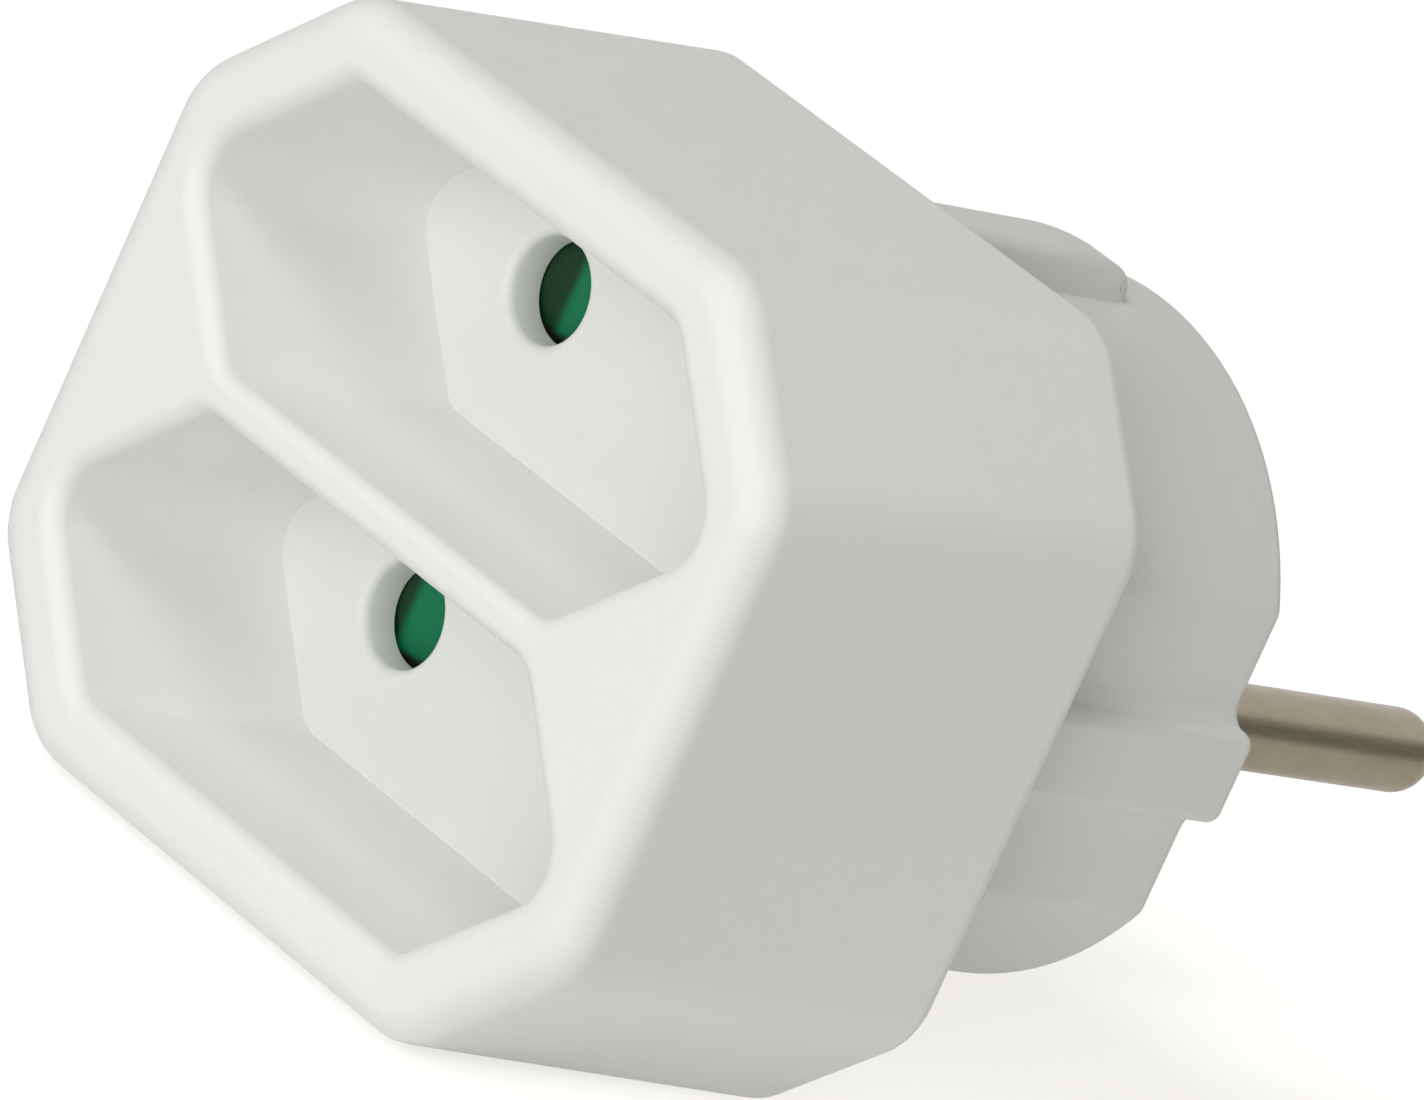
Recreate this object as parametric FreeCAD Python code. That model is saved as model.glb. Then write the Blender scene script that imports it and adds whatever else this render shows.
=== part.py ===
"""Two-way socket adapter for round mains pins, with a child-safety shutter behind each recess.

Millimetres. Seen from the front, X points right along the recesses, Z points up and Y points into
the wall. The origin is the centre of the plug's nose, which meets the bottom of the wall outlet.
"""
import FreeCAD
import Part
import math
import os

# Pins and sockets, at their standard places
PIN_SPACING = 19.0
PIN_D = 4.0
PIN_LENGTH = 18.6
PIN_SHOULDER = 0.9
PIN_SHOULDER_R = 1.7
PIN_TIP = 0.6
PIN_TIP_R = 0.9
PIN_SHANK_STEP = 0.3
HOLE_D = 5.0

# Hexagonal recesses that take a flat two-pin plug
RECESS_WIDTH = 38.7
RECESS_HEIGHT = 14.6
RECESS_DEPTH = 14.5
RECESS_BAR = 2.0
RECESS_TIP_R = 2.6
RECESS_SIDE_R = 1.6
LIP = 0.9
WELL_WALL = 1.4
FLOOR_PLATE = 2.0

# Octagonal body around the recesses
RIM_SIDE = 2.5
RIM_TOP = 3.6
FRONT_CUT = 7.8
REAR_NARROWER = 0.5
REAR_TALLER = 1.0
REAR_CUT = 7.2
CORNER_R = 3.8
FRONT_EDGE_R = 1.9
REAR_EDGE = 1.1
WALL = 1.9
FRONT_PLATE = 2.4

# Plug part that enters the wall outlet
PLUG_LENGTH = 17.8
PLUG_ROUND_RISE = 1.9
NOSE_EDGE = 0.6
PLUG_CORNER_R = 1.0
PLUG_WALL = 1.3
NOSE_WALL = 3.0
SIDE_RIB_RISE = 1.8
SIDE_RIB_WIDTH = 4.6
TOP_RIB_RISE = 2.0
TOP_RIB_WIDTH = 3.6
TOP_RIB_SETBACK = 4.1
TOP_RIB_SLOPE = 3.4
TOP_RIB_DROP = 0.8
RIB_EDGE_R = 0.7
SIDE_RIB_FOOT_R = 1.0
TOP_RIB_FOOT_R = 0.6
FLANGE = 2.0
FLANGE_GAP = 0.1

# Shutter mechanism behind the recess floors
SHUTTER_TRAVEL = 5.4
SHUTTER_DEPTH = 3.0
SHUTTER_EDGE = 1.35
SHUTTER_COVER = 0.45
SHUTTER_GAP = 0.15
SHUTTER_LIP = 0.5
WINDOW_CLEAR = 0.4
RAMP_CLEAR = 0.15
TAB_LENGTH = 2.0
TAB_RISE = 3.2
TAB_X = 8.0
SHUTTER_CORNER_R = 0.9

# Carrier plate that closes the shutter chamber
CARRIER_PLATE = 1.3
CARRIER_RIM = 1.05
CARRIER_GAP = 0.2
CARRIER_WINDOW_CLEAR = 0.5
GUIDE_WIDTH = 0.8
GUIDE_LENGTH = 30.0
GUIDE_GAP = 0.15
POST_X = -4.6
POST_THICK = 1.2

# Return springs, folded from steel strip
SPRING_WIDTH = 2.4
SPRING_HEIGHT = 2.3
SPRING_STRIP = 0.45
SPRING_FOLDS = 8
SPRING_SEAT_GAP = 0.05

# Contacts
CLIP_WIDTH = 2.4
CLIP_SHEET = 0.4
CLIP_BASE = 0.5
CLIP_GRIP = 0.15
CLIP_FLARE = 0.1
CLIP_PINCH_DEPTH = 2.6
CLIP_GAP = 0.3
CLIP_PLAY = 0.1
STAKE = 1.6
STAKE_PROUD = 0.4
STRIP_THICK = 0.8
STRIP_WIDTH = 4.6
STRIP_END = 2.0
STRIP_CUT = 1.2
STRIP_DEPTH = 3.8
COLLAR_RISE = 0.9
COLLAR = 1.0
TAIL_R = 1.2

# Screw that holds the halves together
SCREW_D = 2.9
SCREW_HEAD_D = 5.4
SCREW_HEAD = 2.0
SCREW_POINT = 1.6
SCREW_SLOT = 0.8
SCREW_SLOT_DEPTH = 1.0
SCREW_SINK = 1.6
SCREW_BITE = 0.1
SCREW_CLEAR = 0.2
HEAD_CLEAR = 0.2
PILOT_R = 1.2
PILOT_SPARE = 0.6
BOSS_WALL = 1.8
TUBE_WALL = 1.2
BOSS_GAP = 0.1
BOSS_CLEAR = 0.3

# Outer sizes that follow from those above
PIN_X = PIN_SPACING / 2
RECESS_Z = (RECESS_HEIGHT + RECESS_BAR) / 2
FRONT_WIDTH = RECESS_WIDTH + 2 * RIM_SIDE
FRONT_HEIGHT = 2 * RECESS_HEIGHT + RECESS_BAR + 2 * RIM_TOP
REAR_WIDTH = FRONT_WIDTH - REAR_NARROWER
REAR_HEIGHT = FRONT_HEIGHT + REAR_TALLER
CHAMBER_DEPTH = SHUTTER_GAP + SHUTTER_DEPTH + CARRIER_GAP + CARRIER_PLATE + CARRIER_RIM
BODY_DEPTH = RECESS_DEPTH + FLOOR_PLATE + CHAMBER_DEPTH + FLANGE
CLIP_ROOT = PIN_D / 2
CLIP_CORNER_R = math.hypot(PIN_X + CLIP_WIDTH / 2, RECESS_Z + CLIP_ROOT + CLIP_FLARE + CLIP_SHEET)
PLUG_R = CLIP_CORNER_R + CLIP_PLAY + PLUG_WALL
PLUG_FLAT_X = PLUG_R - PLUG_ROUND_RISE
SIDE_RIB_REACH = PLUG_FLAT_X + SIDE_RIB_RISE
TOP_RIB_REACH = PLUG_R + TOP_RIB_RISE
SHUTTER_WINDOW = PIN_D + 2 * WINDOW_CLEAR
RAMP_WIDTH = HOLE_D + 2 * RAMP_CLEAR
SHUTTER_WIDTH = RAMP_WIDTH + 2 * SHUTTER_EDGE
CARRIER_WINDOW = PIN_D + 2 * CARRIER_WINDOW_CLEAR
COLLAR_R = PIN_D / 2 + COLLAR_RISE
BOSS_R = PILOT_R + BOSS_WALL

# Stations along Y, worked out from the sizes above
Y_REAR = -PLUG_LENGTH
Y_FRONT = Y_REAR - BODY_DEPTH
Y_FLOOR = Y_FRONT + RECESS_DEPTH
Y_CHAMBER = Y_FLOOR + FLOOR_PLATE
Y_SHUTTER = Y_CHAMBER + SHUTTER_GAP
Y_SHUTTER_BACK = Y_SHUTTER + SHUTTER_DEPTH
Y_CARRIER = Y_SHUTTER_BACK + CARRIER_GAP
Y_CARRIER_BACK = Y_CARRIER + CARRIER_PLATE
Y_FLANGE = Y_REAR - FLANGE
Y_CLIP_MOUTH = Y_CARRIER_BACK + CLIP_GAP
Y_STRIP_BACK = -NOSE_WALL - STRIP_DEPTH
Y_STRIP = Y_STRIP_BACK - STRIP_THICK
Y_HEAD_SEAT = -SCREW_SINK - SCREW_HEAD
Y_SCREW_TIP = Y_CHAMBER - SCREW_BITE
Y_BOSS_END = Y_CARRIER_BACK + BOSS_GAP
SPRING_Z = RECESS_Z + SHUTTER_WIDTH / 2 + TAB_RISE / 2
SPRING_Y = (Y_SHUTTER + Y_SHUTTER_BACK) / 2

PAST = 1.0
SIDES = {"left": -1, "right": 1}
ROWS = {"upper": 1, "lower": -1}


def vec(x, y, z):
    return FreeCAD.Vector(x, y, z)


def block(x0, x1, y0, y1, z0, z1):
    """Box between two corners."""
    return Part.makeBox(x1 - x0, y1 - y0, z1 - z0, vec(x0, y0, z0))


def rod(radius, y0, y1, x=0.0, z=0.0):
    """Cylinder along Y."""
    return Part.makeCylinder(radius, y1 - y0, vec(x, y0, z), vec(0, 1, 0))


def taper(radius0, radius1, y0, y1, x=0.0):
    """Cone along Y, from one radius to the other."""
    return Part.makeCone(radius0, radius1, y1 - y0, vec(x, y0, 0), vec(0, 1, 0))


def mirrored(shape, row):
    """The shape as it is for the upper row, or turned over for the lower one."""
    return shape if row > 0 else shape.mirror(vec(0, 0, 0), vec(0, 0, 1))


def prism(points, y0, y1):
    """Outline of (x, z) points, carried from y0 to y1."""
    wire = Part.makePolygon([vec(x, y0, z) for x, z in points + points[:1]])
    return Part.Face(wire).extrude(vec(0, y1 - y0, 0))


def lengthwise(shape, length):
    """Edges that run along the whole given length in Y."""
    return [e for e in shape.Edges if abs(e.Vertexes[0].Y - e.Vertexes[-1].Y) > 0.98 * length]


def rim(shape, y):
    """Edges that lie in the plane at y."""
    return [e for e in shape.Edges if abs(e.BoundBox.YMin - y) < 1e-4 and abs(e.BoundBox.YMax - y) < 1e-4]


def octagon(width, height, cut):
    """Rectangle with its corners cut at 45 degrees, as (x, z) points."""
    x, z = width / 2, height / 2
    return [(x, z - cut), (x - cut, z), (cut - x, z), (-x, z - cut),
            (-x, cut - z), (cut - x, -z), (x - cut, -z), (x, cut - z)]


def inset(size, depth):
    """Octagon whose eight sides lie inside those of another by a depth."""
    width, height, cut = size
    return width - 2 * depth, height - 2 * depth, cut - depth * (2 - math.sqrt(2))


def body_size(y):
    """Width, height and corner cut of the body's tapering outline at y."""
    share = (y - Y_FRONT) / BODY_DEPTH
    front = (FRONT_WIDTH, FRONT_HEIGHT, FRONT_CUT)
    rear = (REAR_WIDTH, REAR_HEIGHT, REAR_CUT)
    return tuple(a + share * (b - a) for a, b in zip(front, rear))


def frustum(outline0, y0, outline1, y1):
    """Flat-sided solid between two outlines of (x, z) points whose sides are parallel."""
    low = [vec(x, y0, z) for x, z in outline0]
    high = [vec(x, y1, z) for x, z in outline1]
    faces = [Part.Face(Part.makePolygon(ring + ring[:1])) for ring in (low, high)]
    for i in range(len(low)):
        corners = [low[i - 1], low[i], high[i], high[i - 1], low[i - 1]]
        faces.append(Part.Face(Part.makePolygon(corners)))
    solid = Part.Solid(Part.Shell(faces))
    if solid.Volume < 0:
        solid.reverse()
    return solid


def octagon_block(y0, y1, depth, corner_r):
    """Length of the body's outline, set in by a depth, with rounded corners."""
    outlines = [octagon(*inset(body_size(y), depth)) for y in (y0, y1)]
    solid = frustum(outlines[0], y0, outlines[1], y1)
    return solid.makeFillet(corner_r, lengthwise(solid, y1 - y0))


def hexagon(grow):
    """Recess outline with 45 degree tips, grown all round, as (x, z) points."""
    z = RECESS_HEIGHT / 2 + grow
    x = RECESS_WIDTH / 2 + grow * math.sqrt(2)
    return [(x, 0), (x - z, z), (z - x, z), (-x, 0), (z - x, -z), (x - z, -z)]


def recess(row):
    """Space of one recess, from in front of the body to its floor."""
    solid = prism(hexagon(0), Y_FRONT - PAST, Y_FLOOR)
    sides = [e for e in lengthwise(solid, RECESS_DEPTH) if abs(e.Vertexes[0].Z) > RECESS_HEIGHT / 4]
    solid = solid.makeFillet(RECESS_SIDE_R, sides)
    tips = [e for e in lengthwise(solid, RECESS_DEPTH) if abs(e.Vertexes[0].Z) < 0.01]
    return solid.makeFillet(RECESS_TIP_R, tips).translated(vec(0, 0, row * RECESS_Z))


def recess_lips(shape):
    """Edges of the recess mouths in the front face."""
    found = []
    for edge in rim(shape, Y_FRONT):
        at = edge.CenterOfMass
        if abs(at.x) + abs(abs(at.z) - RECESS_Z) < RECESS_WIDTH / 2 + 0.1:
            found.append(edge)
    return found


def front_housing():
    """Outer shell with two hexagonal wells, their pierced floors and the screw boss."""
    shell = octagon_block(Y_FRONT, Y_REAR, 0, CORNER_R)
    shell = shell.makeFillet(FRONT_EDGE_R, rim(shell, Y_FRONT))
    shell = shell.makeChamfer(REAR_EDGE, rim(shell, Y_REAR))
    cavity = octagon_block(Y_FRONT + FRONT_PLATE, Y_REAR + PAST, WALL, CORNER_R - WALL)
    for row in ROWS.values():
        well = prism(hexagon(WELL_WALL), Y_FRONT, Y_CHAMBER)
        cavity = cavity.cut(well.translated(vec(0, 0, row * RECESS_Z)))
    shell = shell.cut(cavity)
    for row in ROWS.values():
        shell = shell.cut(recess(row))
    shell = shell.makeChamfer(LIP, recess_lips(shell))
    for side in SIDES.values():
        for row in ROWS.values():
            shell = shell.cut(rod(HOLE_D / 2, Y_FLOOR - PAST, Y_CHAMBER + PAST, side * PIN_X, row * RECESS_Z))
    shell = shell.fuse(rod(BOSS_R, Y_CHAMBER, Y_BOSS_END))
    return shell.cut(rod(PILOT_R, Y_SCREW_TIP - PILOT_SPARE, Y_BOSS_END + PAST))


def rib(reach, width, y1, slope, drop):
    """Upright rib from the body to y1, out to a reach along +Z, its crest sloping at the end."""
    profile = [(Y_REAR, 0), (Y_REAR, reach), (y1, reach - drop), (y1, 0)]
    if slope:
        profile.insert(2, (y1 - slope, reach))
    wire = Part.makePolygon([vec(-width / 2, y, z) for y, z in profile + profile[:1]])
    solid = Part.Face(wire).extrude(vec(width, 0, 0)).removeSplitter()
    crest = [e for e in solid.Edges
             if e.BoundBox.ZMin > reach / 2 and e.BoundBox.XLength < 1e-4 and e.BoundBox.YLength > 1e-4]
    return solid.makeFillet(RIB_EDGE_R, crest)


def feet(shape, length, half_width, distance, around_axis):
    """Inside corners where ribs of a half width spring from a flat, or from the round side."""
    found = []
    for edge in lengthwise(shape, length):
        x, z = abs(edge.Vertexes[0].X), abs(edge.Vertexes[0].Z)
        across, out = (x, math.hypot(x, z)) if around_axis else (z, x)
        if abs(across - half_width) < 0.01 and abs(out - distance) < 0.01:
            found.append(edge)
    return found


def top_ribs():
    """Middle slice of the round plug, with its short upper and lower ribs rounded in at their feet."""
    y1 = -TOP_RIB_SETBACK
    half = PLUG_R / 2
    middle = rod(PLUG_R, Y_REAR, y1).common(block(-half, half, Y_REAR, y1, -PLUG_R, PLUG_R))
    for turn in (0, 180):
        top = rib(TOP_RIB_REACH, TOP_RIB_WIDTH, y1, TOP_RIB_SLOPE, TOP_RIB_DROP)
        middle = middle.fuse(top.rotated(vec(0, 0, 0), vec(0, 1, 0), turn))
    middle = middle.removeSplitter()
    foot_edges = feet(middle, y1 - Y_REAR, TOP_RIB_WIDTH / 2, PLUG_R, True)
    return middle.makeFillet(TOP_RIB_FOOT_R, foot_edges)


def plug_core():
    """Round plug with flat sides, a rib on each flat and a shorter rib above and below."""
    core = rod(PLUG_R, Y_REAR, 0).common(block(-PLUG_FLAT_X, PLUG_FLAT_X, Y_REAR, 0, -PLUG_R, PLUG_R))
    corners = [e for e in lengthwise(core, -Y_REAR) if abs(abs(e.Vertexes[0].X) - PLUG_FLAT_X) < 0.01]
    core = core.makeFillet(PLUG_CORNER_R, corners)
    for turn in (90, 270):
        side = rib(SIDE_RIB_REACH, SIDE_RIB_WIDTH, 0, 0, 0)
        core = core.fuse(side.rotated(vec(0, 0, 0), vec(0, 1, 0), turn))
    core = core.removeSplitter()
    foot_edges = feet(core, -Y_REAR, SIDE_RIB_WIDTH / 2, PLUG_FLAT_X, False)
    core = core.makeFillet(SIDE_RIB_FOOT_R, foot_edges)
    core = core.makeChamfer(NOSE_EDGE, rim(core, 0))
    return core.fuse(top_ribs()).removeSplitter()


def plug_hollow():
    """Space inside the plug for the sleeves and strips, open towards the body."""
    y0 = Y_FLANGE - PAST
    inner = rod(PLUG_R - PLUG_WALL, y0, -NOSE_WALL)
    flat = PLUG_FLAT_X - PLUG_WALL
    return inner.common(block(-flat, flat, y0, -NOSE_WALL, -PLUG_R, PLUG_R))


def plug_base():
    """Rear half: the plate that closes the body, the hollow plug and the screw tube."""
    plate = octagon_block(Y_FLANGE, Y_REAR, WALL + FLANGE_GAP, CORNER_R - WALL)
    base = plate.fuse(plug_core()).cut(plug_hollow())
    base = base.fuse(rod(SCREW_HEAD_D / 2 + HEAD_CLEAR + TUBE_WALL, Y_BOSS_END, -PAST))
    base = base.cut(rod(SCREW_D / 2 + SCREW_CLEAR, Y_BOSS_END - PAST, PAST))
    base = base.cut(rod(SCREW_HEAD_D / 2 + HEAD_CLEAR, Y_HEAD_SEAT, PAST))
    for side in SIDES.values():
        base = base.cut(rod(PIN_D / 2 - PIN_SHANK_STEP, -NOSE_WALL - PAST, PAST, side * PIN_X))
    return base.removeSplitter()


def plug_pin(x):
    """Turned pin with a rounded tip, a slimmer shank in the nose, a collar and a tail through its strip."""
    y_tip = PIN_LENGTH - PIN_TIP
    y_shoulder = y_tip - PIN_SHOULDER
    pin = rod(PIN_D / 2, 0, y_shoulder, x)
    pin = pin.fuse(taper(PIN_D / 2, PIN_SHOULDER_R, y_shoulder, y_tip, x))
    pin = pin.fuse(taper(PIN_SHOULDER_R, PIN_TIP_R, y_tip, PIN_LENGTH, x))
    pin = pin.fuse(rod(PIN_D / 2 - PIN_SHANK_STEP, Y_STRIP_BACK, 0, x))
    pin = pin.fuse(rod(COLLAR_R, -NOSE_WALL - COLLAR, -NOSE_WALL, x))
    return pin.fuse(rod(TAIL_R, Y_STRIP, Y_STRIP_BACK, x)).removeSplitter()


def contact_strip(x):
    """Brass strip that joins a pin to its upper and lower clips."""
    width, length = STRIP_WIDTH, 2 * (RECESS_Z + STRIP_END)
    strip = prism(octagon(width, length, STRIP_CUT), Y_STRIP, Y_STRIP_BACK)
    strip = strip.cut(rod(TAIL_R, Y_STRIP - PAST, Y_STRIP_BACK + PAST))
    for row in ROWS.values():
        z = row * RECESS_Z
        strip = strip.cut(block(-STAKE / 2, STAKE / 2, Y_STRIP, Y_STRIP_BACK, z - STAKE / 2, z + STAKE / 2))
    return strip.translated(vec(x, 0, 0))


def clip_leaf(up):
    """One spring leaf of a clip, pinched near its flared mouth."""
    y_pinch = Y_CLIP_MOUTH + CLIP_PINCH_DEPTH
    inner = [(Y_STRIP, CLIP_ROOT), (y_pinch, CLIP_ROOT - CLIP_GRIP), (Y_CLIP_MOUTH, CLIP_ROOT + CLIP_FLARE)]
    outline = inner + [(y, z + CLIP_SHEET) for y, z in reversed(inner)]
    wire = Part.makePolygon([vec(-CLIP_WIDTH / 2, y, up * z) for y, z in outline + outline[:1]])
    return Part.Face(wire).extrude(vec(CLIP_WIDTH, 0, 0))


def contact_clip(x, z):
    """Twin-leaf clip that grips a pin, with a base staked through the strip."""
    half, wide = STAKE / 2, CLIP_ROOT + CLIP_SHEET
    clip = block(-CLIP_WIDTH / 2, CLIP_WIDTH / 2, Y_STRIP - CLIP_BASE, Y_STRIP, -wide, wide)
    clip = clip.fuse(clip_leaf(1)).fuse(clip_leaf(-1))
    clip = clip.fuse(block(-half, half, Y_STRIP, Y_STRIP_BACK + STAKE_PROUD, -half, half))
    return clip.removeSplitter().translated(vec(x, 0, z))


def ramp(x_high, x_low):
    """Wedge cut from a shutter's front, so that a pin drives it sideways."""
    y_low = Y_SHUTTER_BACK - SHUTTER_LIP
    z0 = RECESS_Z - RAMP_WIDTH / 2
    points = [(x_high, Y_SHUTTER), (x_low, y_low), (x_low, Y_SHUTTER - PAST), (x_high, Y_SHUTTER - PAST)]
    wire = Part.makePolygon([vec(x, y, z0) for x, y in points + points[:1]])
    return Part.Face(wire).extrude(vec(0, 0, RAMP_WIDTH))


def shutter(row):
    """Sliding plate that covers both holes of a recess and opens towards -X."""
    reach = HOLE_D / 2 + SHUTTER_COVER
    x_low = -PIN_X - reach
    x_high = PIN_X + reach
    z_mid, half = RECESS_Z, SHUTTER_WIDTH / 2
    plate = block(x_low, x_high, Y_SHUTTER, Y_SHUTTER_BACK, z_mid - half, z_mid + half)
    tab = block(TAB_X, TAB_X + TAB_LENGTH, Y_SHUTTER, Y_SHUTTER_BACK, z_mid, z_mid + half + TAB_RISE)
    plate = plate.makeFillet(SHUTTER_CORNER_R, lengthwise(plate, SHUTTER_DEPTH)).fuse(tab)
    window_x = SHUTTER_TRAVEL - PIN_X
    window = block(window_x - SHUTTER_WINDOW / 2, window_x + SHUTTER_WINDOW / 2,
                   Y_SHUTTER - PAST, Y_SHUTTER_BACK + PAST,
                   z_mid - SHUTTER_WINDOW / 2, z_mid + SHUTTER_WINDOW / 2)
    plate = plate.cut(window)
    plate = plate.cut(ramp(x_low + SHUTTER_COVER, window_x - SHUTTER_WINDOW / 2))
    plate = plate.cut(ramp(PIN_X - reach, x_high))
    return mirrored(plate.removeSplitter(), row)


def shutter_carrier():
    """Plate behind the shutters, with their guides, the spring posts and a seating rim."""
    gap = WALL + FLANGE_GAP
    plate = octagon_block(Y_CARRIER, Y_CARRIER_BACK, gap, CORNER_R - WALL)
    rim_ring = octagon_block(Y_CARRIER_BACK, Y_FLANGE, gap, CORNER_R - WALL)
    rim_hole = octagon_block(Y_CARRIER_BACK - PAST, Y_FLANGE + PAST, gap + CARRIER_PLATE, CORNER_R - WALL)
    plate = plate.fuse(rim_ring.cut(rim_hole))
    plate = plate.cut(rod(BOSS_R + BOSS_CLEAR, Y_CARRIER - PAST, Y_FLANGE))
    z_inner = RECESS_Z - SHUTTER_WIDTH / 2 - GUIDE_GAP
    z_outer = RECESS_Z + SHUTTER_WIDTH / 2 + TAB_RISE + GUIDE_GAP
    y_guide = Y_SHUTTER + CARRIER_GAP
    half = CARRIER_WINDOW / 2
    for row in ROWS.values():
        for side in SIDES.values():
            x, z = side * PIN_X, row * RECESS_Z
            plate = plate.cut(block(x - half, x + half, Y_CARRIER - PAST, Y_FLANGE, z - half, z + half))
        for z0, length in ((z_inner - GUIDE_WIDTH, GUIDE_LENGTH), (z_outer, GUIDE_LENGTH / 2)):
            guide = block(-length / 2, length / 2, y_guide, Y_CARRIER, z0, z0 + GUIDE_WIDTH)
            plate = plate.fuse(mirrored(guide, row))
        z_post = z_outer - TAB_RISE
        post = block(POST_X, POST_X + POST_THICK, y_guide, Y_CARRIER, z_post, z_outer)
        plate = plate.fuse(mirrored(post, row))
    return plate.removeSplitter()


def shutter_spring(row):
    """Steel strip folded to and fro, from the carrier's post to the shutter's tab."""
    x0 = POST_X + POST_THICK + SPRING_SEAT_GAP
    step = (TAB_X - SPRING_SEAT_GAP - x0) / SPRING_FOLDS
    y0 = SPRING_Y - SPRING_WIDTH / 2
    rise = SPRING_HEIGHT - SPRING_STRIP
    z0 = SPRING_Z - SPRING_HEIGHT / 2
    folds = [vec(x0 + i * step, y0, z0 + rise * (i % 2)) for i in range(SPRING_FOLDS + 1)]
    back = [fold + vec(0, 0, SPRING_STRIP) for fold in reversed(folds)]
    strip = Part.Face(Part.makePolygon(folds + back + folds[:1])).extrude(vec(0, SPRING_WIDTH, 0))
    return mirrored(strip, row)


def housing_screw():
    """Pan-head screw with a plain shank, a point and a cross recess."""
    half = SCREW_D / 2
    y_point = Y_SCREW_TIP + SCREW_POINT
    screw = rod(half, y_point, Y_HEAD_SEAT)
    screw = screw.fuse(taper(half / 4, half, Y_SCREW_TIP, y_point))
    head = rod(SCREW_HEAD_D / 2, Y_HEAD_SEAT, Y_HEAD_SEAT + SCREW_HEAD)
    arm, y_slot = SCREW_HEAD_D / 3, Y_HEAD_SEAT + SCREW_HEAD - SCREW_SLOT_DEPTH
    wide = block(-arm, arm, y_slot, 0, -SCREW_SLOT / 2, SCREW_SLOT / 2)
    tall = block(-SCREW_SLOT / 2, SCREW_SLOT / 2, y_slot, 0, -arm, arm)
    return screw.fuse(head).cut(wide).cut(tall).removeSplitter()


def nodes():
    """Every separate piece, by its name."""
    pieces = {
        "front_housing": front_housing(),
        "plug_base": plug_base(),
        "shutter_carrier": shutter_carrier(),
        "housing_screw": housing_screw(),
    }
    for side, sign in SIDES.items():
        pieces["plug_pin_" + side] = plug_pin(sign * PIN_X)
        pieces["contact_strip_" + side] = contact_strip(sign * PIN_X)
    for row, up in ROWS.items():
        pieces["shutter_" + row] = shutter(up)
        pieces["shutter_spring_" + row] = shutter_spring(up)
        for side, sign in SIDES.items():
            pieces["contact_clip_" + row + "_" + side] = contact_clip(sign * PIN_X, up * RECESS_Z)
    return pieces


def main():
    os.makedirs("parts", exist_ok=True)
    for name, shape in nodes().items():
        solid = shape.Solids[0] if len(shape.Solids) == 1 else shape
        solid.exportStep("parts/" + name + ".step")
        box = solid.BoundBox
        print(name, "solids", len(shape.Solids), "valid", solid.isValid(), "volume", round(solid.Volume, 2),
              "box", [round(v, 2) for v in (box.XMin, box.XMax, box.YMin, box.YMax, box.ZMin, box.ZMax)])


main()
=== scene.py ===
"""Looks of a two-way mains adapter: white moulded body, ribbed plug part, metal pins, green shutters."""

import bmesh
import bpy
import math
from mathutils import Matrix, Vector


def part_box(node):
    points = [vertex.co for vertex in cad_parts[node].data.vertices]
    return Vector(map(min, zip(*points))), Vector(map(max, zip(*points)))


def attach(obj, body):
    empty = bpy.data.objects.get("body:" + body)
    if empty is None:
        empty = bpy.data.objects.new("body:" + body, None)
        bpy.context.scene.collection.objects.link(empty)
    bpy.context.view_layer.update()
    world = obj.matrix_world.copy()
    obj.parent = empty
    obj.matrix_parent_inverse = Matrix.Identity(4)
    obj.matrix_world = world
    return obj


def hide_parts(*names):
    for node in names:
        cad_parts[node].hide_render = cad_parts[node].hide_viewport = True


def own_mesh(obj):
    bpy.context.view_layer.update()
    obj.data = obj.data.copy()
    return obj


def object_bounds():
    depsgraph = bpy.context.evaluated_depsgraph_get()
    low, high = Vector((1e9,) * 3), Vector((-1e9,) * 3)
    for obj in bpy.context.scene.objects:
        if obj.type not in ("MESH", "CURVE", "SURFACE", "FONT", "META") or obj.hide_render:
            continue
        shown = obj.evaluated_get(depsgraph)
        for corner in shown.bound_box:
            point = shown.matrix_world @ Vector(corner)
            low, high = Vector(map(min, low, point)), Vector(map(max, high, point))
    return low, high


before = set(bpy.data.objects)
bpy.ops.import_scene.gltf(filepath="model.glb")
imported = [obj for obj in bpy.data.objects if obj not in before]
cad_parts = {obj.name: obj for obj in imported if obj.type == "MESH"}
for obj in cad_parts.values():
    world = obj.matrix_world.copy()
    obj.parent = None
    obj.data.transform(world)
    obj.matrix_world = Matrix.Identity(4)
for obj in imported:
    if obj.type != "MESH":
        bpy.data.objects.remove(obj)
cad_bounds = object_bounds()
MM = 0.001

# Octagonal body, from its front rim to its rear rim, in millimetres
FRONT_WIDTH, FRONT_HEIGHT, FRONT_CUT = 43.7, 38.4, 7.8
REAR_WIDTH, REAR_HEIGHT, REAR_CUT = 43.2, 39.4, 7.2
CORNER_R = 3.8
FRONT_EDGE_R = 1.9
REAR_EDGE_R = 1.3
WALL = 1.9
FRONT_PLATE = 2.4

# Hexagonal recesses
RECESS_Z = 8.3
RECESS_WIDTH = 38.7
RECESS_HEIGHT = 14.6
RECESS_DEPTH = 14.5
RECESS_TIP_R = 2.6
RECESS_SIDE_R = 1.6
RECESS_FLOOR_R = 0.5
LIP_R = 1.0
BAR_LIP_R = 0.75
BAR_EDGE_Z = 1.0
LIP_SPREAD = 0.4
WELL_WALL = 1.4
FLOOR_PLATE = 2.0
HOLE_R = 2.5
HOLE_LIP_R = 0.5

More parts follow.
